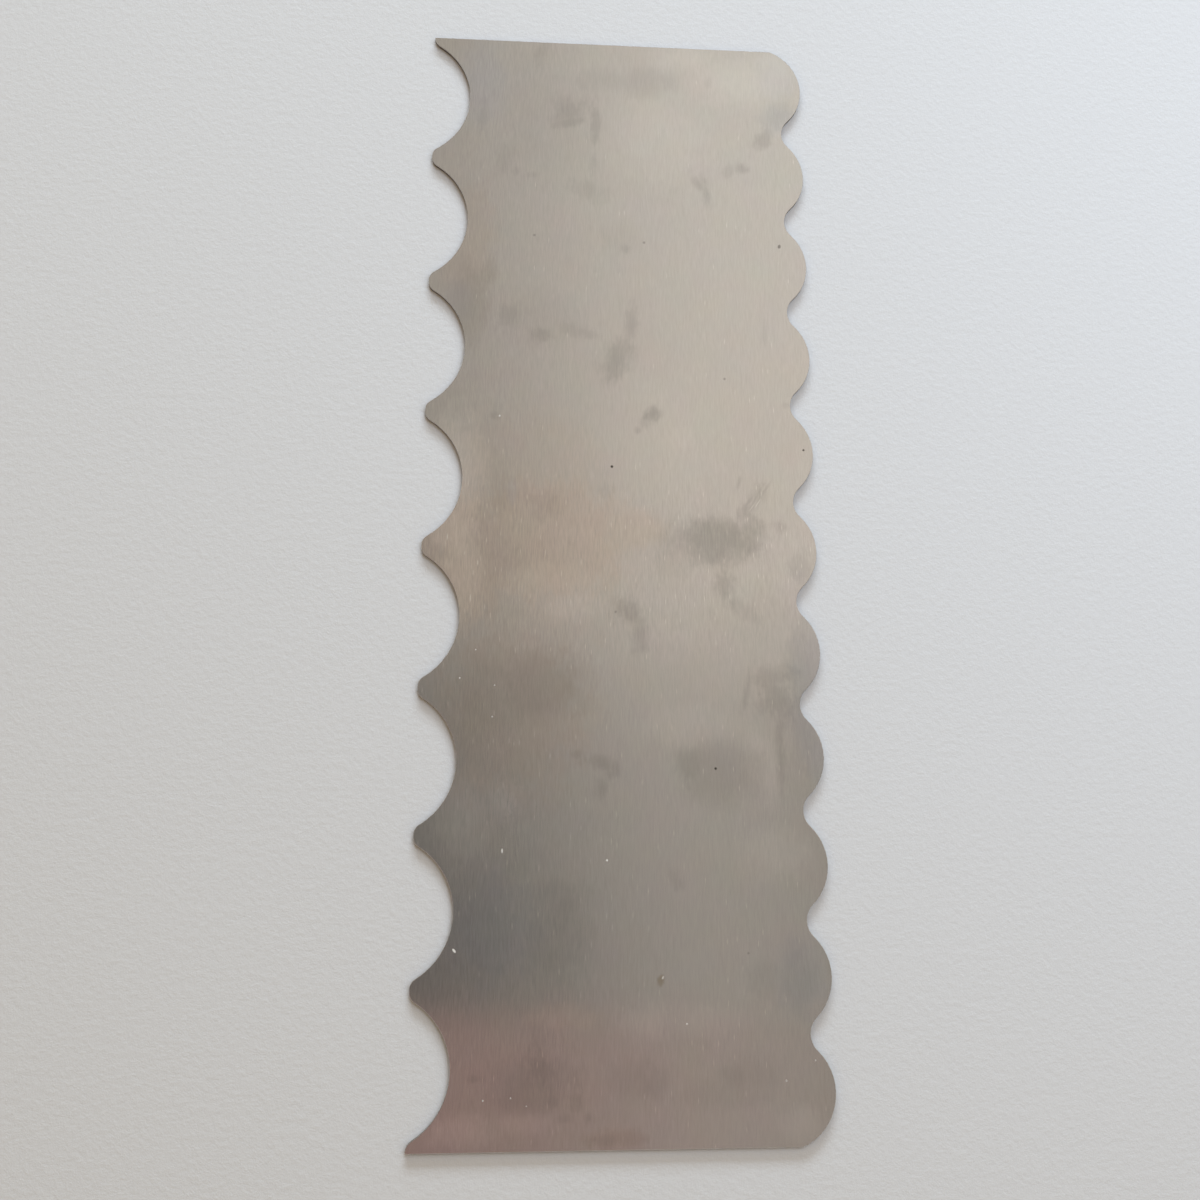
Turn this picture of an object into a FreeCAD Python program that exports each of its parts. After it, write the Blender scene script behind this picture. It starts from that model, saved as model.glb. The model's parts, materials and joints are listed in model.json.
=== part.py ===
import FreeCAD, Part
import math
import os
import Sketcher

# Double-edged icing comb: one flat sheet of steel, cut to an outline and deburred.
# One long edge has a row of scallops with blunt tips between them. The other has a row of round crests
# with small rounded notches between them. The two short ends are straight.
#
# Lengths are in millimetres. The origin is at the middle of the underside. X runs across the sheet, from
# the scalloped edge to the crested edge, Y runs along it and Z goes up through its thickness.
#
# Each long edge is one cell, from the long centre line out to the edge, repeated along the length. As many
# scallops and crests are cut as the length holds side by side, and they are spread evenly over it.

SIZES = {
    "plate_length": 250.0,
    "plate_width": 88.0,
    "sheet_thickness": 0.8,
    "scallop_radius": 15.6,
    "scallop_depth": 8.6,
    "tip_radius": 2.4,
    "crest_radius": 11.3,
    "notch_radius": 4.5,
    # How much of the round of an end crest the straight end cuts off
    "end_trim": 0.8,
    # Rounding of every edge of the two broad faces, left by deburring
    "edge_break": 0.12,
}

# Places and sizes that follow from the sheet, as expressions on its cells
HALF_LENGTH = "(Sizes.plate_length / 2)"
HALF_WIDTH = "(Sizes.plate_width / 2)"

# A scallop's centre lies outside the line of the tips. A tip's rounding touches that line and the scallop.
SCALLOP_OFFSET = "(Sizes.scallop_radius - Sizes.scallop_depth)"
SCALLOP_CENTRE_X = f"(-{HALF_WIDTH} - {SCALLOP_OFFSET})"
TIP_TO_SCALLOP_X = f"({SCALLOP_OFFSET} + Sizes.tip_radius)"
TIP_TO_SCALLOP_Y = f"sqrt((Sizes.scallop_radius + Sizes.tip_radius)^2 - {TIP_TO_SCALLOP_X}^2)"
SCALLOP_COUNT = f"floor(Sizes.plate_length / (2 * {TIP_TO_SCALLOP_Y}))"
SCALLOP_PITCH = f"(Sizes.plate_length / {SCALLOP_COUNT})"
FIRST_SCALLOP_Y = f"({SCALLOP_PITCH} / 2 - {HALF_LENGTH})"

# Crest centres run from near one end to near the other. A notch's rounding touches the crests beside it.
END_REACH = "(Sizes.crest_radius - Sizes.end_trim)"
CREST_SPAN = f"(Sizes.plate_length - 2 * {END_REACH})"
NOTCH_COUNT = f"floor({CREST_SPAN} / (2 * Sizes.crest_radius))"
CREST_PITCH = f"({CREST_SPAN} / {NOTCH_COUNT})"
NOTCH_TO_CREST_X = f"sqrt((Sizes.crest_radius + Sizes.notch_radius)^2 - ({CREST_PITCH} / 2)^2)"

# Sketcher's numbers for the points of an edge
START, END, CENTRE = range(1, 4)

Z_UP = FreeCAD.Vector(0, 0, 1)
# How near, in millimetres, an edge has to lie to a broad face to belong to it
ON_FACE = 1e-4


def make_sheet(doc):
    """Put the driving dimensions in a spreadsheet, one named cell each."""
    sheet = doc.addObject("Spreadsheet::Sheet", "Sizes")
    for row, (alias, size) in enumerate(SIZES.items(), start=1):
        sheet.set(f"A{row}", alias.replace("_", " "))
        sheet.set(f"B{row}", str(size))
        sheet.setAlias(f"B{row}", alias)
    doc.recompute()
    return sheet


def origin_feature(body, role):
    """One of the body's own planes or axes."""
    return next(feature for feature in body.Origin.OriginFeatures if feature.Role == role)


def new_sketch(body, name):
    """An empty sketch on the plane of the underside."""
    sketch = body.newObject("Sketcher::SketchObject", name)
    sketch.AttachmentSupport = (origin_feature(body, "XY_Plane"), [""])
    sketch.MapMode = "FlatFace"
    return sketch


def add_line(sketch, start, end):
    """A straight edge between two points given as (x, y)."""
    return sketch.addGeometry(Part.LineSegment(FreeCAD.Vector(*start, 0), FreeCAD.Vector(*end, 0)), False)


def add_arc(sketch, centre, radius, first, last):
    """A round edge about a point given as (x, y), anticlockwise between two angles in radians."""
    circle = Part.Circle(FreeCAD.Vector(*centre, 0), Z_UP, radius)
    return sketch.addGeometry(Part.ArcOfCircle(circle, first, last), False)


def rule(sketch, kind, *elements):
    """A geometric constraint without a size."""
    return sketch.addConstraint(Sketcher.Constraint(kind, *elements))


def lay_on_centre_line(sketch, line):
    """Keep a line on the sketch's own vertical axis, which Sketcher numbers -2."""
    rule(sketch, "Vertical", line)
    rule(sketch, "PointOnObject", line, START, -2)


def dimension(sketch, sheet, name, kind, elements, expression):
    """A named size of the sketch, bound to the spreadsheet."""
    index = sketch.addConstraint(Sketcher.Constraint(kind, *elements, sheet.evalExpression(expression)))
    sketch.renameConstraint(index, name)
    sketch.setExpression(f"Constraints.{name}", expression)


def draw_scallop_cell(body, sheet):
    """The first scallop with half a tip on each side, from the centre line out to the line of the tips."""
    value = sheet.evalExpression
    tip_line = -value(HALF_WIDTH)
    low = -value(HALF_LENGTH)
    high = low + value(SCALLOP_PITCH)
    middle = (low + high) / 2
    reach = value(TIP_TO_SCALLOP_Y)
    tip_radius = value("Sizes.tip_radius")
    tip_x = tip_line + tip_radius
    turn = math.atan2(reach, value(TIP_TO_SCALLOP_X))

    sketch = new_sketch(body, "scallop_cell_sketch")
    low_side = add_line(sketch, (0, low), (tip_line, low))
    low_land = add_line(sketch, (tip_line, low), (tip_line, middle - reach))
    low_tip = add_arc(sketch, (tip_x, middle - reach), tip_radius, math.pi - turn, math.pi)
    scallop_centre = (value(SCALLOP_CENTRE_X), middle)
    scallop = add_arc(sketch, scallop_centre, value("Sizes.scallop_radius"), -turn, turn)
    high_tip = add_arc(sketch, (tip_x, middle + reach), tip_radius, math.pi, math.pi + turn)
    high_land = add_line(sketch, (tip_line, middle + reach), (tip_line, high))
    high_side = add_line(sketch, (tip_line, high), (0, high))
    back = add_line(sketch, (0, high), (0, low))

    rule(sketch, "Coincident", low_side, END, low_land, START)
    rule(sketch, "Tangent", low_land, END, low_tip, END)
    rule(sketch, "Tangent", low_tip, START, scallop, START)
    rule(sketch, "Tangent", scallop, END, high_tip, END)
    rule(sketch, "Tangent", high_tip, START, high_land, START)
    rule(sketch, "Coincident", high_land, END, high_side, START)
    rule(sketch, "Coincident", high_side, END, back, START)
    rule(sketch, "Coincident", back, END, low_side, START)
    rule(sketch, "Horizontal", low_side)
    rule(sketch, "Horizontal", high_side)
    rule(sketch, "Vertical", low_land)
    rule(sketch, "Vertical", high_land)
    lay_on_centre_line(sketch, back)
    rule(sketch, "Equal", low_tip, high_tip)

    dimension(sketch, sheet, "tip_radius", "Radius", (low_tip,), "Sizes.tip_radius")
    dimension(sketch, sheet, "scallop_radius", "Radius", (scallop,), "Sizes.scallop_radius")
    dimension(sketch, sheet, "low_tip_line", "DistanceX", (low_land, START), f"-{HALF_WIDTH}")
    dimension(sketch, sheet, "high_tip_line", "DistanceX", (high_land, END), f"-{HALF_WIDTH}")
    dimension(sketch, sheet, "scallop_x", "DistanceX", (scallop, CENTRE), SCALLOP_CENTRE_X)
    dimension(sketch, sheet, "scallop_y", "DistanceY", (scallop, CENTRE), FIRST_SCALLOP_Y)
    dimension(sketch, sheet, "low_end", "DistanceY", (back, END), f"-{HALF_LENGTH}")
    dimension(sketch, sheet, "pitch", "DistanceY", (back, END, back, START), SCALLOP_PITCH)
    return sketch


def draw_notch_cell(body, sheet):
    """The first notch with half a crest on each side, from the centre line out to the line of the crests."""
    value = sheet.evalExpression
    crest_line = value(HALF_WIDTH)
    crest_radius = value("Sizes.crest_radius")
    crest_x = crest_line - crest_radius
    low = -value(CREST_SPAN) / 2
    high = low + value(CREST_PITCH)
    notch_x = crest_x + value(NOTCH_TO_CREST_X)
    turn = math.atan2(value(CREST_PITCH) / 2, value(NOTCH_TO_CREST_X))

    sketch = new_sketch(body, "notch_cell_sketch")
    low_side = add_line(sketch, (0, low), (crest_line, low))
    low_crest = add_arc(sketch, (crest_x, low), crest_radius, 0, turn)
    notch_centre = (notch_x, (low + high) / 2)
    notch = add_arc(sketch, notch_centre, value("Sizes.notch_radius"), math.pi - turn, math.pi + turn)
    high_crest = add_arc(sketch, (crest_x, high), crest_radius, -turn, 0)
    high_side = add_line(sketch, (crest_line, high), (0, high))
    back = add_line(sketch, (0, high), (0, low))

    rule(sketch, "Coincident", low_side, END, low_crest, START)
    rule(sketch, "Tangent", low_crest, END, notch, END)
    rule(sketch, "Tangent", notch, START, high_crest, START)
    rule(sketch, "Coincident", high_crest, END, high_side, START)
    rule(sketch, "Coincident", high_side, END, back, START)
    rule(sketch, "Coincident", back, END, low_side, START)
    rule(sketch, "Horizontal", low_side)
    rule(sketch, "Horizontal", high_side)
    lay_on_centre_line(sketch, back)
    rule(sketch, "PointOnObject", low_crest, CENTRE, low_side)
    rule(sketch, "PointOnObject", high_crest, CENTRE, high_side)
    rule(sketch, "Equal", low_crest, high_crest)

    dimension(sketch, sheet, "crest_radius", "Radius", (low_crest,), "Sizes.crest_radius")
    dimension(sketch, sheet, "notch_radius", "Radius", (notch,), "Sizes.notch_radius")
    dimension(sketch, sheet, "low_crest_line", "DistanceX", (low_side, END), HALF_WIDTH)
    dimension(sketch, sheet, "high_crest_line", "DistanceX", (high_side, START), HALF_WIDTH)
    dimension(sketch, sheet, "low_crest_y", "DistanceY", (back, END), f"-{CREST_SPAN} / 2")
    dimension(sketch, sheet, "pitch", "DistanceY", (back, END, back, START), CREST_PITCH)
    return sketch


def draw_end_crest_cell(body, sheet):
    """The outer half of the last crest, from its middle to the straight end that cuts its round."""
    value = sheet.evalExpression
    crest_line = value(HALF_WIDTH)
    crest_radius = value("Sizes.crest_radius")
    crest_x = crest_line - crest_radius
    reach = value(END_REACH)
    end = value(HALF_LENGTH)
    turn = math.asin(reach / crest_radius)
    corner_x = crest_x + crest_radius * math.cos(turn)

    sketch = new_sketch(body, "end_crest_cell_sketch")
    low_side = add_line(sketch, (0, end - reach), (crest_line, end - reach))
    crest = add_arc(sketch, (crest_x, end - reach), crest_radius, 0, turn)
    end_edge = add_line(sketch, (corner_x, end), (0, end))
    back = add_line(sketch, (0, end), (0, end - reach))

    rule(sketch, "Coincident", low_side, END, crest, START)
    rule(sketch, "Coincident", crest, END, end_edge, START)
    rule(sketch, "Coincident", end_edge, END, back, START)
    rule(sketch, "Coincident", back, END, low_side, START)
    rule(sketch, "Horizontal", low_side)
    rule(sketch, "Horizontal", end_edge)
    lay_on_centre_line(sketch, back)
    rule(sketch, "PointOnObject", crest, CENTRE, low_side)

    dimension(sketch, sheet, "crest_radius", "Radius", (crest,), "Sizes.crest_radius")
    dimension(sketch, sheet, "crest_line", "DistanceX", (low_side, END), HALF_WIDTH)
    dimension(sketch, sheet, "end", "DistanceY", (back, START), HALF_LENGTH)
    dimension(sketch, sheet, "end_reach", "DistanceY", (back, END, back, START), END_REACH)
    return sketch


def pad_through_sheet(body, sketch, name):
    """A solid of the sketch's outline, as thick as the sheet."""
    pad = body.newObject("PartDesign::Pad", name)
    pad.Profile = sketch
    pad.setExpression("Length", "Sizes.sheet_thickness")
    pad.Refine = True
    return pad


def repeat_along_length(body, original, name, pitch, count):
    """Copies of one cell, side by side along the sheet."""
    row = body.newObject("PartDesign::LinearPattern", name)
    row.Originals = [original]
    row.Direction = (origin_feature(body, "Y_Axis"), [""])
    row.Mode = "Spacing"
    row.setExpression("Offset", pitch)
    row.setExpression("Occurrences", count)
    row.Refine = True
    body.Tip = row
    return row


def mirror_to_other_end(body, original, name):
    """The same cell at the other end of the sheet."""
    pair = body.newObject("PartDesign::Mirrored", name)
    pair.Originals = [original]
    pair.MirrorPlane = (origin_feature(body, "XZ_Plane"), [""])
    pair.Refine = True
    body.Tip = pair
    return pair


def broad_face_edges(shape):
    """Names of the edges that lie in the upper or the under face."""
    names = []
    for number, edge in enumerate(shape.Edges, start=1):
        box = edge.BoundBox
        flat = box.ZLength < ON_FACE
        outer = min(abs(box.ZMin - shape.BoundBox.ZMin), abs(box.ZMax - shape.BoundBox.ZMax)) < ON_FACE
        if flat and outer:
            names.append(f"Edge{number}")
    return names


def break_edges(doc, body):
    """Round the edges of both broad faces, as deburring leaves them."""
    doc.recompute()
    outline = body.Tip
    rounding = body.newObject("PartDesign::Fillet", "edge_break")
    rounding.Base = (outline, broad_face_edges(outline.Shape))
    rounding.setExpression("Radius", "Sizes.edge_break")
    rounding.Refine = True
    body.Tip = rounding


def make_comb_plate(doc, sheet):
    """The whole comb, from one cell of each edge."""
    body = doc.addObject("PartDesign::Body", "comb_plate")
    body.Label = "comb_plate"
    body.Placement = FreeCAD.Placement()

    scallop_cell = pad_through_sheet(body, draw_scallop_cell(body, sheet), "scallop_cell")
    repeat_along_length(body, scallop_cell, "scallop_row", SCALLOP_PITCH, SCALLOP_COUNT)
    doc.recompute()

    notch_cell = pad_through_sheet(body, draw_notch_cell(body, sheet), "notch_cell")
    repeat_along_length(body, notch_cell, "notch_row", CREST_PITCH, NOTCH_COUNT)
    doc.recompute()

    end_crest_cell = pad_through_sheet(body, draw_end_crest_cell(body, sheet), "end_crest_cell")
    mirror_to_other_end(body, end_crest_cell, "end_crests")

    break_edges(doc, body)
    doc.recompute()
    return body


def check_document(doc, pieces):
    """Stop before anything is written if a feature failed or a piece isn't one sound solid."""
    for item in doc.Objects:
        if "Invalid" in item.State or "Error" in item.State:
            raise RuntimeError(f"{item.Name} failed to rebuild: {item.State}")
    for piece in pieces:
        shape = piece.Shape
        if shape.isNull() or not shape.isValid() or len(shape.Solids) != 1:
            raise RuntimeError(f"{piece.Label} isn't one valid solid")


def main():
    doc = FreeCAD.newDocument("icing_comb")
    sheet = make_sheet(doc)
    pieces = [make_comb_plate(doc, sheet)]
    check_document(doc, pieces)
    os.makedirs("parts", exist_ok=True)
    for piece in pieces:
        piece.Shape.exportStep(f"parts/{piece.Label}.step")
        box = piece.Shape.optimalBoundingBox()
        print(f"{piece.Label}: {box.XLength:.3f} x {box.YLength:.3f} x {box.ZLength:.3f} mm")
        print(f"volume {piece.Shape.Volume:.2f} cubic mm, {len(piece.Shape.Faces)} faces")


main()
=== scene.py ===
"""Brushed finish and studio for a double-edged icing comb, around its packed steel sheet."""
import json
import math

import bmesh
import bpy
from bpy.props import FloatProperty, FloatVectorProperty, PointerProperty
from mathutils import Matrix, Vector


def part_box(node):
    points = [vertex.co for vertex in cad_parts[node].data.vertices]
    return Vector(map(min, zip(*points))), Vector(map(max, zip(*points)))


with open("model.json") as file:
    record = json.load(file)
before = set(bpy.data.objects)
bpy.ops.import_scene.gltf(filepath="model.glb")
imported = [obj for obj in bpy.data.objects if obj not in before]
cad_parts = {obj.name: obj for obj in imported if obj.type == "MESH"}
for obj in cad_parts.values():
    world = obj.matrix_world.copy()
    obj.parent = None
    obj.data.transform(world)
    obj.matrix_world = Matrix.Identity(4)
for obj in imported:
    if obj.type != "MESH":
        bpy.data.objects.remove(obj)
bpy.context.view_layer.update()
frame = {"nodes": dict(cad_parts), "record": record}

bl_info = {
    "name": "Icing Comb",
    "version": (1, 0, 0),
    "blender": (4, 5, 0),
    "location": "3D View > Sidebar > Icing Comb",
    "description": "Gives the steel icing comb its brushed finish and sets it on a pale table",
    "category": "Object",
}

PLATE = "comb_plate"
PLATE_LOW, PLATE_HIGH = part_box(PLATE)
PACKED_STEEL = frame["record"]["materials"][0]["base_color"]
MM_PER_M = 1000.0
SHEET_MM = (PLATE_HIGH.z - PLATE_LOW.z) * MM_PER_M
WHITE = (1.0, 1.0, 1.0, 1.0)

# Depth under a broad face, in millimetres, where the cut side ends and where the brushed face starts
SIDE_DEPTH = 0.10
FACE_DEPTH = 0.02

# Brush lines of three sizes: width and length in fine lines, and how strongly they show
BRUSH_LINES = (
    (1.0, 1.0, 0.19),
    (2.4, 1.6, 0.065),
    (6.4, 3.0, 0.035),
)

# Faint scratches strewn along the brushing: the size of the cells that may hold one, in millimetres, and
# the reach in a cell where a scratch ends and where it is full
STREWN_CELL = (1.1, 8.0, MM_PER_M)
STREWN_FADE = (0.11, 0.03)

# A cell's draw from 0 to 1: where scratches begin, where they are full and how strong they are then, and
# what strong brushing adds to the draw
STREWN_DRAW = (0.90, 1.0, 0.4)
STRONG_DRAW = 0.4

# Noise about its middle: clouds and feathers that shift the edges of the marks, and faint hues
NOISE_MIDDLE = 0.5
CLOUD_SIZE = (4.2, 4.8, 4.0)
CLOUD_SHIFT = 2.2
FEATHER_SIZE = (0.7, 2.2, 1.0)
FEATHER_SHIFT = 0.9
GENTLE_SHARE = 0.4
HUE_SIZE = (8.0, 8.0, 8.0)
HUE_SHARE = 0.03

# Reach from a mark's middle, 1 on its rim, where each kind of mark is gone and where it is full
SMUDGE_FADE = (1.35, 0.15)
CLOUD_FADE = (1.2, 0.3)
RUBBED_FADE = (1.2, 0.2)
WARM_FADE = (1.15, 0.45)
STRONG_FADE = (1.25, 0.5)
RUST_FADE = (1.2, 0.1)
SPOT_FADE = (1.0, 0.6)
SCRATCH_FADE = (1.1, 0.3)

# Roughness that brush lines, smudges and specks add, and how high a scratch stands against a brush line
LINE_ROUGHNESS = 0.03
SMUDGE_ROUGHNESS = 0.03
SPECK_ROUGHNESS = 0.30
SCRATCH_HEIGHT = 0.5

# Rise of a direction, 1 straight up: the least that it counts as, and where walls give way to the ceiling
LOWEST_RISE = 0.08
OVERHEAD_RISE = (0.35, 0.70)

# Where the ceiling changes: how far a direction leans right or to the far end, for each unit that it rises
PANEL_RIGHT = (-0.03, 0.09)
PANEL_FAR = (-0.29, 0.763)
SHADE_RIGHT = (0.212, -0.005)
SHADE_FAR = (0.211, 0.115)
SHADE_DEEPENS = (0.211, -0.299)
DIM_RIGHT = (0.232, 0.262)
DIM_FAR = (0.25, 0.05)
COOL_RIGHT = (-0.05, 0.12)
COOL_FAR = (0.25, 0.65)
BROWN_RIGHT = (0.219, 0.014)
BROWN_FAR = (-0.111, -0.138)

# Rays that show the backdrop as it is painted
SEEN_RAYS = ("Is Camera Ray", "Is Glossy Ray", "Is Transmission Ray")

# Sides of the round table, and its gap under the sheet in metres
TABLE_SIDES = 96
TABLE_GAP = 0.00002

# Width of the camera's sensor in millimetres, and its nearest view in metres
SENSOR_MM = 36.0
NEAREST_VIEW = 0.005

# Marks on the upper face, in millimetres from the middle of the sheet: place across and along it, half
# width, half height, turn in degrees and strength. Smudges are dark and feathered.
SMUDGES = [
    (-12.0, 107.0, 5.0, 4.0, 20, 0.40),
    (-11.5, 104.2, 4.2, 1.7, 12, 0.46),
    (-5.6, 103.5, 1.3, 7.0, 0, 0.42),
    (-6.2, 93.5, 1.2, 4.0, -10, 0.22),
    (-7.5, 86.5, 4.4, 3.4, 0, 0.26),
    (-18.5, 122.0, 1.6, 4.2, -25, 0.26),
    (-32.4, 104.5, 1.4, 6.0, 0, 0.26),
    (-27.0, 94.0, 2.6, 3.6, 0, 0.22),
    (-24.4, 91.0, 1.1, 1.3, 0, 0.26),
    (-20.5, 90.0, 1.4, 1.0, 0, 0.24),
    (21.5, 116.0, 1.1, 1.9, -15, 0.22),
    (13.0, 115.6, 2.6, 2.6, 0, 0.14),
    (38.0, 107.5, 4.6, 3.4, 40, 0.30),
    (34.2, 101.6, 2.3, 4.4, -32, 0.46),
    (29.2, 93.5, 1.9, 1.5, 20, 0.46),
    (26.0, 92.5, 2.4, 1.4, 60, 0.26),
    (19.0, 88.8, 2.8, 1.3, -55, 0.40),
    (20.4, 87.2, 1.4, 4.4, 10, 0.42),
    (1.6, 72.0, 1.4, 1.2, 0, 0.30),
    (-30.0, 66.0, 1.9, 4.0, 0, 0.34),
    (-26.0, 54.6, 3.2, 3.2, 0, 0.30),
    (-18.0, 50.1, 2.6, 1.5, 0, 0.42),
    (-10.6, 51.6, 3.0, 2.1, 0, 0.26),
    (-6.4, 50.2, 2.2, 1.4, 0, 0.26),
    (-0.8, 45.0, 3.6, 6.0, -24, 0.56),
    (2.4, 53.2, 1.8, 5.0, -8, 0.40),
    (7.6, 31.6, 2.3, 1.9, 25, 0.72),
    (5.2, 29.4, 1.6, 1.4, 45, 0.30),
    (3.8, 27.6, 1.0, 1.2, 0, 0.40),
    (-28.6, 30.6, 1.2, 1.2, 0, 0.42),
    (38.2, 34.6, 1.2, 1.0, 0, 0.24),
    (33.5, 51.5, 0.9, 4.2, 0, 0.18),
    (-16.5, 10.0, 4.4, 3.6, 0, 0.26),
    (-26.5, 12.5, 2.6, 5.0, 0, 0.20),
    (-4.0, 13.5, 2.6, 2.2, 0, 0.22),
    (-26.0, -4.2, 5.6, 4.8, 0, 0.20),
    (22.0, 2.6, 10.0, 5.2, 2, 0.42),
    (14.5, 3.0, 4.0, 3.8, 0, 0.26),
    (29.0, 3.4, 3.2, 5.0, 0, 0.42),
    (20.8, -1.2, 9.0, 3.0, -4, 0.32),
    (28.2, 9.4, 1.8, 2.6, -32, 0.50),
    (28.8, 11.2, 0.6, 4.0, -38, 0.52),
    (30.4, 12.0, 0.5, 4.4, -30, 0.52),
    (30.6, 12.8, 2.0, 3.4, -34, 0.34),
    (31.8, 13.0, 0.5, 4.2, -36, 0.46),
    (26.6, 15.3, 0.6, 1.7, -12, 0.34),
    (36.0, 5.6, 1.9, 1.6, 0, 0.36),
    (23.0, -8.0, 2.4, 5.2, 14, 0.48),
    (28.0, -14.0, 5.4, 2.2, -22, 0.18),
    (40.4, -4.2, 3.2, 4.4, 0, 0.26),
    (1.6, -14.2, 3.6, 3.8, 0, 0.54),
    (3.6, -19.2, 2.0, 4.0, 8, 0.40),
    (4.2, -22.2, 1.8, 1.8, 0, 0.36),
    (-11.0, -28.2, 2.4, 4.6, 0, 0.10),
    (27.4, -31.4, 1.0, 5.0, -14, 0.36),
    (33.5, -28.4, 5.0, 2.4, 0, 0.36),
    (33.6, -33.4, 4.6, 4.6, 0, 0.46),
    (34.5, -43.6, 1.2, 10.5, 0, 0.36),
    (14.0, -47.2, 3.4, 4.6, -20, 0.15),
    (28.0, -46.6, 2.2, 3.2, 0, 0.12),
    (-4.2, -47.4, 4.8, 2.0, -22, 0.42),
    (-2.2, -49.6, 2.6, 1.6, 0, 0.32),
    (-4.4, -52.2, 1.6, 2.4, 0, 0.34),
    (-9.6, -45.4, 1.4, 1.0, 0, 0.30),
    (11.4, -71.6, 1.7, 2.2, 30, 0.20),
    (-12.6, -77.0, 3.6, 4.4, 0, 0.12),
    (-30.4, -110.8, 1.7, 0.9, 0, 0.36),
    (-17.4, -108.0, 3.0, 6.6, 0, 0.34),
    (-14.6, -115.4, 1.2, 1.2, 0, 0.20),
    (-9.4, -115.8, 1.9, 1.7, 0, 0.26),
    (-12.4, -118.9, 2.0, 1.0, 0, 0.25),
    (-7.2, -119.0, 1.2, 1.2, 0, 0.28),
    (-2.0, -123.0, 6.4, 2.0, 0, 0.36),
    (6.6, -112.0, 2.6, 3.2, 0, 0.10),
    (23.6, -111.2, 2.8, 2.2, 0, 0.14),
]

# Broad faint clouds of tarnish, darker, and places rubbed brighter
TARNISH = [
    (-17.5, -30.5, 12.0, 9.5, 0, 0.42),
    (21.4, 2.2, 12.0, 6.4, 2, 0.46),
    (11.0, -0.5, 5.5, 8.0, 0, 0.22),
    (-29.0, -32.0, 8.0, 11.0, 0, 0.20),
    (-34.5, 57.0, 5.5, 12.0, 0, 0.40),
    (-18.0, 54.0, 12.0, 8.0, 0, 0.14),
    (36.5, -92.0, 5.0, 9.0, 0, 0.32),
    (-27.0, -80.0, 10.0, 12.0, 0, 0.20),
    (40.0, -30.0, 4.5, 22.0, 0, 0.36),
    (-18.0, -111.5, 11.0, 6.0, 0, 0.38),
    (-14.0, -83.0, 9.0, 12.0, 0, 0.30),
    (20.5, -49.0, 10.5, 8.5, 0, 0.42),
    (26.0, -111.0, 8.0, 5.5, 0, 0.22),
    (-5.0, 115.5, 10.0, 3.6, 0, 0.20),
    (5.5, 115.0, 6.5, 5.0, 0, 0.28),
    (0.0, 74.6, 5.5, 4.5, 0, 0.14),
    (3.0, -111.5, 7.0, 5.0, 0, 0.22),
    (30.0, -14.0, 12.0, 9.0, 0, 0.12),
    (-20.0, -114.5, 9.0, 4.5, 0, 0.44),
    (30.0, -92.0, 5.0, 5.5, 0, 0.24),
    (-14.0, -75.0, 9.0, 5.0, 0, 0.20),
    (-17.0, 104.0, 14.0, 21.0, 0, 0.13),
    (22.0, -114.5, 13.0, 4.0, 0, 0.18),
]
RUBBED = [
    (-37.0, 16.0, 7.5, 18.0, 0, 1.0),
    (-37.5, 3.0, 7.0, 8.0, 0, 1.0),
    (-36.0, -7.0, 7.0, 13.0, 0, 0.85),
    (-34.0, -59.0, 7.5, 11.0, 0, 0.66),
    (-33.0, -121.0, 9.0, 4.0, 0, 0.66),
    (-12.0, -99.2, 10.0, 3.0, 0, 0.32),
    (-21.0, -119.6, 9.0, 2.6, 0, 0.36),
    (-12.0, -13.0, 9.0, 4.5, 0, 0.36),
    (4.5, -100.0, 8.0, 5.0, 0, 0.42),
    (16.0, -100.0, 11.0, 4.0, 0, 0.30),
    (32.2, -50.0, 2.6, 8.0, 0, 0.44),
    (37.0, -121.0, 5.5, 4.5, 0, 0.44),
    (28.0, 116.5, 15.0, 8.0, 0, 0.38),
    (9.0, 101.0, 15.0, 15.0, 0, 0.26),
    (-18.0, -7.5, 13.0, 4.5, 0, 0.34),
    (16.0, 122.0, 9.0, 4.5, 0, 0.34),
    (37.5, 121.0, 6.0, 5.0, 0, 0.34),
    (14.0, 26.0, 6.0, 5.0, 0, 0.30),
    (9.0, 26.0, 19.0, 20.0, 0, 0.17),
    (33.0, -66.0, 9.0, 7.0, 0, 0.36),
    (29.0, -45.0, 4.5, 6.5, 0, 0.40),
    (14.0, -39.5, 14.0, 6.0, 0, 0.26),
    (-26.0, -55.0, 6.0, 6.0, 0, 0.38),
]

# Tan patches, where heat or handling has tinted the steel
WARM_PATCHES = [
    (-17.0, 2.5, 22.0, 18.0, 0, 1.0),
    (-33.5, -2.0, 13.0, 20.0, 0, 1.0),
    (2.0, 4.5, 9.0, 6.0, 0, 0.7),
    (-22.0, 2.0, 26.0, 34.0, 0, 0.45),
    (-24.0, -36.0, 20.0, 22.0, 0, 0.70),
    (-36.0, 70.0, 9.0, 22.0, 0, 0.50),
    (-12.0, -99.0, 10.0, 3.2, 0, 0.40),
    (-2.0, -123.0, 7.0, 2.6, 0, 0.50),
    (-42.0, 0.0, 5.0, 6.0, 0, 1.0),
]

# Patches tinted cool, a painted reflection: the cool tone of dark surroundings that the steel mirrors there
BLUE_REFLECTION_PATCHES = [
    (-32.5, 113.0, 7.0, 14.0, 0, 1.0),
    (-38.0, 57.0, 5.5, 8.0, 0, 0.8),
    (-28.0, -81.0, 12.0, 13.0, 0, 1.0),
    (38.0, -92.0, 6.5, 10.0, 0, 1.0),
    (42.0, -31.0, 5.5, 24.0, 0, 1.0),
    (38.0, 107.0, 5.0, 5.0, 0, 0.8),
    (38.0, 118.0, 6.0, 8.0, 0, 0.7),
    (43.0, -46.0, 4.0, 9.0, 0, 1.0),
    (-24.3, 13.0, 1.3, 3.6, 0, 1.0),
]

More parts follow.
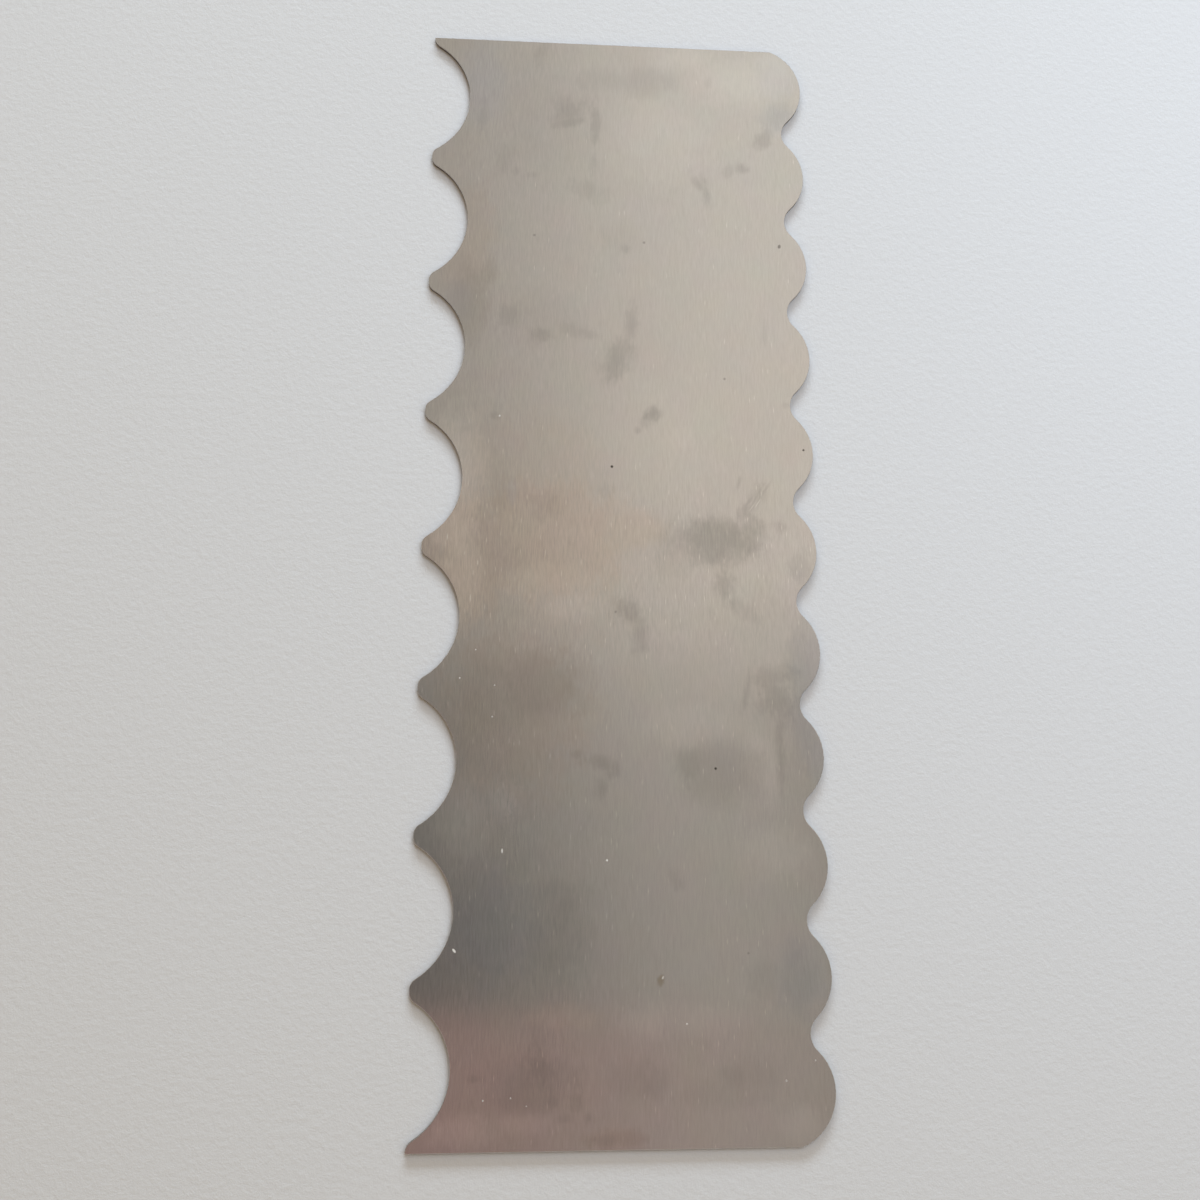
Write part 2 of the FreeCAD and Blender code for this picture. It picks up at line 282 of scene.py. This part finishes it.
# Places where the brushing and its fine scratches show more
STRONG_BRUSHING = [
    (0.0, -5.0, 64.0, 22.0, 0, 0.7),
    (0.0, -78.0, 80.0, 62.0, 0, 0.25),
]

# Short scratches along the brushing, made bright by a painted glint
SCRATCHES = [
    (-38.4, 2.1, 0.14, 0.90, 0, 1.0),
    (-38.8, 0.5, 0.10, 1.15, 0, 0.55),
    (-34.0, 14.5, 0.10, 0.80, 0, 0.35),
    (-31.0, 14.3, 0.10, 1.15, 0, 0.30),
    (-30.3, 7.2, 0.10, 0.80, 0, 0.50),
    (-29.8, 1.5, 0.10, 0.70, 0, 0.50),
    (-34.5, -1.5, 0.12, 0.56, 0, 0.60),
    (-37.8, -1.3, 0.10, 0.34, 0, 0.35),
    (-31.6, -3.6, 0.14, 0.80, 0, 0.90),
    (-32.6, -5.9, 0.11, 0.90, 0, 0.55),
    (-32.1, -8.6, 0.11, 0.67, 0, 0.50),
    (-33.1, -11.5, 0.12, 1.10, 0, 1.0),
    (-32.8, -14.8, 0.10, 1.30, 0, 0.30),
    (-22.4, -11.8, 0.11, 0.44, 0, 0.35),
    (30.9, 11.0, 0.11, 1.5, -32, 0.35),
    (29.5, 10.0, 0.11, 1.3, -34, 0.30),
]

# Specks of dried icing, light, and small pits, dark
SPECKS = [
    (-3.3, -67.6, 0.28, 0.28, 0, 0.9),
    (-25.4, -65.6, 0.22, 0.60, 0, 0.7),
    (-27.9, -37.4, 0.20, 0.20, 0, 0.6),
    (-27.5, -30.6, 0.18, 0.18, 0, 0.5),
    (-35.0, -29.1, 0.20, 0.20, 0, 0.6),
    (-31.7, -22.9, 0.20, 0.20, 0, 0.5),
    (-35.0, -85.8, 0.28, 0.62, 38, 0.9),
    (-28.6, -115.1, 0.21, 0.21, 0, 0.7),
    (-23.0, -114.7, 0.19, 0.22, 0, 0.6),
    (-19.8, -116.3, 0.18, 0.18, 0, 0.4),
    (13.2, -100.7, 0.26, 0.26, 0, 0.6),
    (39.9, -108.2, 0.22, 0.22, 0, 0.5),
    (33.7, -112.1, 0.24, 0.30, 0, 0.5),
    (8.3, -91.5, 0.24, 0.44, -30, 0.6),
    (-27.3, 30.4, 0.24, 0.24, 0, 0.7),
]
PITS = [
    (-2.0, 19.0, 0.36, 0.36, 0, 1.0),
    (20.2, -48.3, 0.32, 0.32, 0, 1.0),
    (41.8, 23.8, 0.30, 0.30, 0, 0.9),
    (-19.9, 74.7, 0.40, 0.40, 0, 0.30),
    (5.7, 73.7, 0.40, 0.42, 0, 0.30),
    (37.7, 73.8, 0.44, 0.62, -15, 0.55),
    (24.0, 40.5, 0.36, 0.42, 0, 0.30),
    (-1.3, -14.2, 0.32, 0.32, 0, 0.30),
    (26.4, -86.7, 0.30, 0.30, 0, 0.25),
]
RUST_SPOTS = [
    (7.9, -91.8, 0.8, 1.3, -20, 0.50),
]


class Signal:
    """One output of a shader node. Sums with numbers and other signals add Math nodes."""

    def __init__(self, shader, socket):
        self.shader = shader
        self.socket = socket

    def __add__(self, other):
        return self.shader.maths("ADD", self, other)

    __radd__ = __add__

    def __sub__(self, other):
        return self.shader.maths("SUBTRACT", self, other)

    def __rsub__(self, other):
        return self.shader.maths("SUBTRACT", other, self)

    def __mul__(self, other):
        return self.shader.maths("MULTIPLY", self, other)

    __rmul__ = __mul__

    def __truediv__(self, other):
        return self.shader.maths("DIVIDE", self, other)


class Shader:
    """The node tree of a material or a world, emptied, and the ways to add to it."""

    def __init__(self, owner):
        owner.use_nodes = True
        self.tree = owner.node_tree
        self.tree.nodes.clear()

    def node(self, kind, settings=None, inputs=None, output=0):
        """Add a node: its settings first, then the values or links of its sockets."""
        node = self.tree.nodes.new("ShaderNode" + kind)
        for name, value in (settings or {}).items():
            setattr(node, name, value)
        for name, value in (inputs or {}).items():
            if isinstance(value, Signal):
                self.tree.links.new(value.socket, node.inputs[name])
            else:
                node.inputs[name].default_value = value
        return Signal(self, node.outputs[output]) if node.outputs else None

    def maths(self, operation, first, second):
        """A Math node on two values."""
        return self.node("Math", {"operation": operation}, {0: first, 1: second})

    def rise(self, value, start, stop, top=1.0):
        """0 at start, the top at stop and smooth between them, whichever of the two is higher."""
        ends = {"Value": value, "From Min": start, "From Max": stop, "To Max": top}
        return self.node("MapRange", {"interpolation_type": "SMOOTHSTEP"}, ends)

    def mix(self, share, first, second, way="MIX"):
        """One colour laid over another by a share."""
        settings = {"data_type": "RGBA", "blend_type": way}
        return self.node("Mix", settings, {0: share, 6: first, 7: second}, 2)

    def grey(self, value):
        """A value as a colour."""
        return self.node("CombineColor", None, {"Red": value, "Green": value, "Blue": value})

    def split(self, vector):
        """The three parts of a vector."""
        node = self.node("SeparateXYZ", None, {"Vector": vector}).socket.node
        return [Signal(self, socket) for socket in node.outputs]

    def stretch(self, vector, lengths):
        """A vector measured in other lengths along each axis."""
        shares = [1.0 / length for length in lengths]
        return self.node("VectorMath", {"operation": "MULTIPLY"}, {0: vector, 1: shares})

    def noise(self, vector, detail=2.0, roughness=0.5, output="Fac"):
        """Cloudy noise about one unit across."""
        sockets = {"Vector": vector, "Scale": 1.0, "Detail": detail, "Roughness": roughness}
        return self.node("TexNoise", None, sockets, output)

    def seen(self):
        """1 on rays that are seen, mirrored or come through glass, and 0 on the light that is thrown."""
        path = self.node("LightPath").socket.node.outputs
        total = 0.0
        for ray in SEEN_RAYS:
            total = self.maths("MAXIMUM", Signal(self, path[ray]), total)
        return total

    def reach(self, place, across, along, half_width, half_height, turn):
        """How far a place lies from the middle of an ellipse: 1 on its rim."""
        cosine, sine = math.cos(math.radians(turn)), math.sin(math.radians(turn))
        wide = Vector((cosine, sine, 0.0)) / half_width
        high = Vector((-sine, cosine, 0.0)) / half_height
        middle = Vector((across, along, 0.0))
        sides = {}
        for name, axis in (("X", wide), ("Y", high)):
            along_axis = {0: place, 1: axis}
            sides[name] = self.node("VectorMath", {"operation": "DOT_PRODUCT"}, along_axis, "Value")
        ends = {0: self.node("CombineXYZ", None, sides), 1: (middle.dot(wide), middle.dot(high), 0.0)}
        return self.node("VectorMath", {"operation": "DISTANCE"}, ends, "Value")

    def marks(self, place, table, fade, ragged=0.0):
        """Spots laid out by a table of marks, each with its fade, the strongest one at each place."""
        total = 0.0
        for *ellipse, strength in table:
            reach = self.reach(place, *ellipse) + ragged
            total = self.maths("MAXIMUM", self.rise(reach, *fade, strength), total)
        return total


def colour(values):
    """A colour property as the four numbers that a socket takes."""
    return (*values, 1.0)


def colour_property(name, description, default):
    return FloatVectorProperty(
        name=name, description=description, default=default, subtype="COLOR", size=3, min=0.0, max=2.0
    )


def length_property(name, description, default):
    return FloatProperty(name=name, description=description, default=default, unit="LENGTH", precision=5)


def share_property(name, description, default):
    return FloatProperty(
        name=name, description=description, default=default, subtype="FACTOR", min=0.0, max=1.0
    )


def power_property(name, description, default):
    return FloatProperty(name=name, description=description, default=default, unit="POWER", min=0.0)


def place_property(name, description, default):
    return FloatVectorProperty(name=name, description=description, default=default, subtype="TRANSLATION")


def turn_property(name, description, degrees):
    turn = [math.radians(angle) for angle in degrees]
    return FloatVectorProperty(name=name, description=description, default=turn, subtype="EULER")


class CombSheetSettings(bpy.types.PropertyGroup):
    """Finish of the steel sheet."""

    steel: colour_property("Steel", "Bare brushed steel", PACKED_STEEL)
    smudge: colour_property("Smudge", "Smudged steel, as a share of bare steel", (0.70, 0.70, 0.70))
    rubbed: colour_property("Rubbed", "Steel rubbed bright, as a share of bare steel", (1.25, 1.25, 1.25))
    warm: colour_property("Warm tint", "Steel tinted by heat, as a share of bare steel", (1.02, 0.95, 0.90))
    # Cool tint of the patches, a painted reflection of cool, dark surroundings
    painted_blue_reflection: colour_property("Blued tint", "Faintly blued steel, as a share of bare steel", (0.975, 1.0, 1.045))
    # The sheared side of the sheet, its colour darkened with painted shade for sides that face away from the
    # light
    shaded_cut_edge: colour_property("Cut edge", "The sheared and deburred side of the sheet", (0.17, 0.145, 0.125))
    # Colour of the scratches: a painted glint, the light that scratches catch
    glinting_scratch: colour_property("Scratch", "Bright metal in a fresh scratch", (0.95, 0.90, 0.82))
    icing: colour_property("Dried icing", "Specks left on the sheet", (0.80, 0.78, 0.73))
    rust: colour_property("Rust", "A small brown spot", (0.34, 0.26, 0.15))
    pit: colour_property("Pit", "Small dark pits in the sheet", (0.07, 0.06, 0.05))
    roughness: share_property("Roughness", "Roughness of the bare brushed face", 0.16)
    edge_roughness: share_property("Edge roughness", "Roughness of the cut side", 0.5)
    grain: share_property("Grain", "How much blurrier the face is across the brushing than along it", 1.0)
    streak_width: length_property("Streak width", "Width of a fine brush line", 0.00025)
    streak_length: length_property("Streak length", "Length of a fine brush line", 0.0026)


class CombStudioSettings(bpy.types.PropertyGroup):
    """Table, lamps, surroundings and camera."""

    table: colour_property("Table", "Pale painted table", (0.66, 0.66, 0.66))
    table_radius: length_property("Table radius", "Reach of the table", 4.0)
    peel_size: length_property("Peel size", "Size of the bumps in the table's paint", 0.0016)
    mottle: share_property("Mottle", "How far the paint varies between light and dark", 0.06)
    fade_start: length_property("Fade start", "How far out the table starts to fade into the backdrop", 0.25)
    fade_end: length_property("Fade end", "How far out the table has faded into the backdrop", 0.6)
    panel: colour_property("Panel", "Bright panel overhead", (1.066, 1.0, 0.93))
    far_panel: colour_property("Far panel", "The panel's cooler far right end", (1.025, 1.0, 0.955))
    shade: colour_property("Shade", "The cool shade on the near left", (1.02, 1.0, 0.98))
    brown_wall: colour_property("Brown wall", "Brown wall past the foot of the table", (0.348, 0.238, 0.223))
    panel_level: share_property("Panel level", "Brightness of the panel's dim near left end", 0.184)
    panel_right: share_property("Panel right", "Brightness that the panel gains to the right", 0.55)
    panel_far: share_property("Panel far", "Brightness that the panel gains to the far end", 0.205)
    shade_depth: share_property("Shade depth", "How far the shade on the near left darkens the panel", 0.704)
    shade_start: share_property("Shade start", "Share of that depth at the far end of the shade", 0.281)
    dim_depth: share_property("Dim depth", "How far the panel darkens at its near right end", 0.642)
    wall: colour_property("Walls", "Warm light that the walls throw on the table", (0.64, 0.46, 0.16))
    backdrop: colour_property("Backdrop", "Pale walls as they are seen and mirrored", (0.76, 0.75, 0.73))
    far_lamp: colour_property("Far lamp", "Colour of the broad lamp past the far end", (0.734, 0.866, 1.0))
    far_power: power_property("Far lamp power", "Power of the broad lamp past the far end", 29.25)
    far_place: place_property("Far lamp place", "Middle of the broad lamp past the far end", (0.0, 1.3, 0.33))
    far_width: length_property("Far lamp width", "Width of the broad lamp past the far end", 1.0)
    far_height: length_property("Far lamp height", "Height of the broad lamp past the far end", 0.25)
    side_lamp: colour_property("Side lamp", "Colour of the cool lamp on the right", (0.64, 0.787, 1.0))
    side_power: power_property("Side lamp power", "Power of the cool lamp on the right", 0.75)
    side_place: place_property("Side lamp place", "Middle of the cool lamp on the right", (0.25, 0.1, 0.3))
    side_size: length_property("Side lamp size", "Width and height of the cool lamp on the right", 0.4)
    camera_place: place_property("Camera place", "Where the camera stands", (-0.023784, -0.065132, 0.267943))
    camera_turn: turn_property("Camera turn", "Tilt, lean and roll of the camera", (11.306, -4.0687, -0.0694))
    lens: FloatProperty(name="Lens", description="Focal length", default=37.295, unit="CAMERA")


def brushed_steel(look):
    """Steel sheet brushed along its length, with smudges, tints, specks and scratches."""
    material = bpy.data.materials.new("brushed_sheet_finish")
    shader = Shader(material)
    metres = shader.node("TexCoord", output="Object")
    place = shader.node("VectorMath", {"operation": "SCALE"}, {0: metres, "Scale": MM_PER_M})
    _, _, height = shader.split(place)
    mid_height = SHEET_MM / 2
    from_middle = shader.node("Math", {"operation": "ABSOLUTE"}, {0: height - mid_height})
    broad_face = shader.rise(from_middle, mid_height - SIDE_DEPTH, mid_height - FACE_DEPTH)
    upper_face = shader.rise(height, SHEET_MM - SIDE_DEPTH, SHEET_MM - FACE_DEPTH)

    # Brush lines, from fine to coarse
    lines = []
    brushing = 0.0
    for wide, long, weight in BRUSH_LINES:
        size = (look.streak_width * MM_PER_M * wide, look.streak_length * MM_PER_M * long, 1.0)
        line = shader.noise(shader.stretch(place, size)) - NOISE_MIDDLE
        brushing = brushing + weight * line
        lines.append(line)
    fine = lines[0]
    strong = shader.marks(place, STRONG_BRUSHING, STRONG_FADE) * upper_face
    tone = 1.0 + (1.0 + strong) * brushing

    # Clouds and feathers that break up the edges of the marks
    cloud = shader.noise(shader.stretch(place, CLOUD_SIZE), detail=5.0, roughness=0.60) - NOISE_MIDDLE
    feather = shader.noise(shader.stretch(place, FEATHER_SIZE)) - NOISE_MIDDLE
    ragged = CLOUD_SHIFT * cloud + FEATHER_SHIFT * feather
    gentle = GENTLE_SHARE * ragged
    smudge = shader.marks(place, SMUDGES, SMUDGE_FADE, ragged) * upper_face
    tarnish = shader.marks(place, TARNISH, CLOUD_FADE, gentle) * upper_face
    rubbed = shader.marks(place, RUBBED, RUBBED_FADE, gentle) * upper_face
    warm = shader.marks(place, WARM_PATCHES, WARM_FADE, gentle) * upper_face
    # Cool patches: painted reflection of the cool, dark surroundings that the steel mirrors
    painted_blue_reflection = shader.marks(place, BLUE_REFLECTION_PATCHES, CLOUD_FADE, gentle) * upper_face
    rust = shader.marks(place, RUST_SPOTS, RUST_FADE, ragged) * upper_face
    speck = shader.marks(place, SPECKS, SPOT_FADE) * upper_face
    pit = shader.marks(place, PITS, SPOT_FADE) * upper_face

    # Scratches at their places, and fainter ones strewn along the brushing; their bright colour is a painted
    # glint
    cells = {"Vector": shader.stretch(place, STREWN_CELL), "Scale": 1.0}
    cell = shader.node("TexVoronoi", {"voronoi_dimensions": "2D"}, cells)
    draw = shader.split(Signal(shader, cell.socket.node.outputs["Color"]))[0] + STRONG_DRAW * strong
    strewn = shader.rise(cell, *STREWN_FADE) * shader.rise(draw, *STREWN_DRAW) * broad_face
    placed = shader.marks(place, SCRATCHES, SCRATCH_FADE) * upper_face
    glinting_scratch = shader.maths("MAXIMUM", strewn, placed)

    # Colour, layer by layer
    hue = shader.noise(shader.stretch(place, HUE_SIZE), detail=3.0, output="Color")
    mottle = shader.mix(HUE_SHARE, WHITE, shader.mix(1.0, hue, hue, "ADD"))
    steel = shader.mix(1.0, colour(look.steel), shader.grey(tone), "MULTIPLY")
    steel = shader.mix(1.0, steel, mottle, "MULTIPLY")
    stains = (
        (rubbed, look.rubbed),
        (warm, look.warm),
        (painted_blue_reflection, look.painted_blue_reflection),
        (tarnish, look.smudge),
        (smudge, look.smudge),
    )
    for share, tint in stains:
        steel = shader.mix(share, steel, shader.mix(1.0, steel, colour(tint), "MULTIPLY"))
    covers = (
        # The scratch colour laid on below is a painted glint
        (glinting_scratch, look.glinting_scratch),
        (rust, look.rust),
        (pit, look.pit),
        (speck, look.icing),
    )
    for share, tint in covers:
        steel = shader.mix(share, steel, colour(tint))
    # The cut side: sheared steel, darkened with painted shade
    steel = shader.mix(broad_face, colour(look.shaded_cut_edge), steel)

    dulling = LINE_ROUGHNESS * fine + SMUDGE_ROUGHNESS * smudge + SPECK_ROUGHNESS * speck
    face_roughness = look.roughness + dulling
    roughness = look.edge_roughness + broad_face * (face_roughness - look.edge_roughness)
    relief = shader.node("Bump", None, {
        "Strength": 0.05, "Distance": 0.00004, "Height": fine + SCRATCH_HEIGHT * glinting_scratch,
    })
    tangent = shader.node("Tangent", {"direction_type": "RADIAL", "axis": "Y"})
    surface = shader.node("BsdfPrincipled", None, {
        "Base Color": steel,
        "Metallic": 1.0 - speck,
        "Roughness": roughness,
        "Normal": relief,
        "Tangent": tangent,
        "Anisotropic": look.grain,
    })
    shader.node("OutputMaterial", None, {"Surface": surface})
    return material


def painted_table(studio):
    """Off-white paint with a fine orange-peel texture, seen to fade into the backdrop far from the sheet."""
    material = bpy.data.materials.new("painted_table")
    shader = Shader(material)
    metres = shader.node("TexCoord", output="Object")
    peel = shader.noise(shader.stretch(metres, [studio.peel_size] * 3), detail=4.0, roughness=0.75)
    mottle = shader.grey(1.0 - studio.mottle / 2 + studio.mottle * peel)
    paint = shader.mix(1.0, colour(studio.table), mottle, "MULTIPLY")
    relief = shader.node("Bump", None, {"Strength": 0.45, "Distance": 0.0002, "Height": peel})
    surface = shader.node("BsdfPrincipled", None, {
        "Base Color": paint, "Roughness": 0.65, "Normal": relief, "Specular IOR Level": 0.25,
    })
    distance = shader.node("VectorMath", {"operation": "LENGTH"}, {0: metres}, "Value")
    far_off = shader.rise(distance, studio.fade_start, studio.fade_end) * shader.seen()
    backdrop = shader.node("Emission", None, {"Color": colour(studio.backdrop), "Strength": 1.0})
    surface = shader.node("MixShader", None, {0: far_off, 1: surface, 2: backdrop})
    shader.node("OutputMaterial", None, {"Surface": surface})
    return material


def paint_surroundings(studio):
    """Soft room: a bright panel overhead on the right, shade on the near left, brown past the foot."""
    world = bpy.data.worlds.new("studio_surroundings")
    bpy.context.scene.world = world
    shader = Shader(world)
    across, along, up = shader.split(shader.node("TexCoord", output="Generated"))
    rise = shader.maths("MAXIMUM", up, LOWEST_RISE)
    right, far = across / rise, along / rise

    # The panel grows brighter to the right and to the far end, and is shaded at its near end
    panel = studio.panel_level + studio.panel_right * shader.rise(right, *PANEL_RIGHT)
    panel = panel + studio.panel_far * shader.rise(far, *PANEL_FAR)
    near_left = shader.rise(far, *SHADE_FAR) * shader.rise(right, *SHADE_RIGHT)
    deepening = (1.0 - studio.shade_start) * shader.rise(far, *SHADE_DEEPENS)
    near_left = near_left * (studio.shade_start + deepening)
    near_right = shader.rise(right, *DIM_RIGHT) * shader.rise(far, *DIM_FAR)
    panel = panel * (1.0 - studio.shade_depth * near_left) * (1.0 - studio.dim_depth * near_right)
    far_right = shader.rise(far, *COOL_FAR) * shader.rise(right, *COOL_RIGHT)
    tint = shader.mix(far_right, colour(studio.panel), colour(studio.far_panel))
    tint = shader.mix(near_left, tint, colour(studio.shade))
    room = shader.mix(1.0, tint, shader.grey(panel), "MULTIPLY")
    brown = shader.rise(far, *BROWN_FAR) * shader.rise(right, *BROWN_RIGHT)
    room = shader.mix(brown, room, colour(studio.brown_wall))

    # The walls are seen and mirrored paler than the light that they throw
    walls = shader.mix(shader.seen(), colour(studio.wall), colour(studio.backdrop))
    overhead = shader.rise(up, *OVERHEAD_RISE)
    room = shader.mix(overhead, walls, room)
    background = shader.node("Background", None, {"Color": room, "Strength": 1.0})
    shader.node("OutputWorld", None, {"Surface": background})


def add_table(studio):
    """A round table top, a hair under the sheet."""
    mesh = bpy.data.meshes.new("table_top")
    shape = bmesh.new()
    bmesh.ops.create_circle(shape, cap_ends=True, segments=TABLE_SIDES, radius=studio.table_radius)
    shape.to_mesh(mesh)
    shape.free()
    table = bpy.data.objects.new("table_top", mesh)
    bpy.context.scene.collection.objects.link(table)
    table.location.z = PLATE_LOW.z - TABLE_GAP
    mesh.materials.append(painted_table(studio))


def add_lamp(name, tint, power, place, width, height):
    """A broad soft lamp, aimed at the middle of the sheet and left out of what the steel mirrors."""
    lamp = bpy.data.lights.new(name, "AREA")
    lamp.shape = "RECTANGLE"
    lamp.size = width
    lamp.size_y = height
    lamp.energy = power
    lamp.color = tint
    holder = bpy.data.objects.new(name, lamp)
    bpy.context.scene.collection.objects.link(holder)
    holder.location = place
    holder.rotation_euler = (-Vector(place)).to_track_quat("-Z", "Y").to_euler()
    holder.visible_camera = False
    holder.visible_glossy = False


def add_camera(studio):
    """The camera, held over the lower part of the sheet and tilted towards its far end."""
    lens = bpy.data.cameras.new("camera")
    lens.lens = studio.lens
    lens.sensor_width = SENSOR_MM
    lens.clip_start = NEAREST_VIEW
    camera = bpy.data.objects.new("camera", lens)
    bpy.context.scene.collection.objects.link(camera)
    camera.matrix_world = Matrix.LocRotScale(studio.camera_place, studio.camera_turn, None)
    bpy.context.scene.camera = camera


class ICINGCOMB_OT_finish_sheet(bpy.types.Operator):
    """Give the comb's steel sheet its brushed, lightly marked finish"""

    bl_idname = "icing_comb.finish_sheet"
    bl_label = "Finish Steel Sheet"
    bl_options = {"REGISTER", "UNDO"}

    def execute(self, context):
        sheet = frame["nodes"][PLATE]
        finish = brushed_steel(context.scene.comb_sheet)
        for slot in sheet.material_slots:
            slot.material = finish
        return {"FINISHED"}


class ICINGCOMB_OT_set_stage(bpy.types.Operator):
    """Set the table, lamps, surroundings and camera"""

    bl_idname = "icing_comb.set_stage"
    bl_label = "Set Stage"
    bl_options = {"REGISTER", "UNDO"}

    def execute(self, context):
        studio = context.scene.comb_studio
        context.scene.view_settings.view_transform = "Standard"
        paint_surroundings(studio)
        add_table(studio)
        far_size = studio.far_width, studio.far_height
        add_lamp("far_lamp", studio.far_lamp, studio.far_power, studio.far_place, *far_size)
        side_size = studio.side_size, studio.side_size
        add_lamp("side_lamp", studio.side_lamp, studio.side_power, studio.side_place, *side_size)
        add_camera(studio)
        return {"FINISHED"}


class ICINGCOMB_PT_panel(bpy.types.Panel):
    """The comb's finish and its stage"""

    bl_idname = "ICINGCOMB_PT_panel"
    bl_label = "Icing Comb"
    bl_space_type = "VIEW_3D"
    bl_region_type = "UI"
    bl_category = "Icing Comb"

    def draw(self, context):
        parts = (
            (context.scene.comb_sheet, ICINGCOMB_OT_finish_sheet),
            (context.scene.comb_studio, ICINGCOMB_OT_set_stage),
        )
        for settings, operator in parts:
            box = self.layout.box()
            for name in settings.__annotations__:
                box.prop(settings, name)
            box.operator(operator.bl_idname)


CLASSES = (
    CombSheetSettings,
    CombStudioSettings,
    ICINGCOMB_OT_finish_sheet,
    ICINGCOMB_OT_set_stage,
    ICINGCOMB_PT_panel,
)


def register():
    for item in CLASSES:
        bpy.utils.register_class(item)
    bpy.types.Scene.comb_sheet = PointerProperty(type=CombSheetSettings)
    bpy.types.Scene.comb_studio = PointerProperty(type=CombStudioSettings)


def unregister():
    del bpy.types.Scene.comb_studio
    del bpy.types.Scene.comb_sheet
    for item in reversed(CLASSES):
        bpy.utils.unregister_class(item)


def main():
    register()
    bpy.ops.icing_comb.finish_sheet()
    bpy.ops.icing_comb.set_stage()


if __name__ == "__main__":
    main()
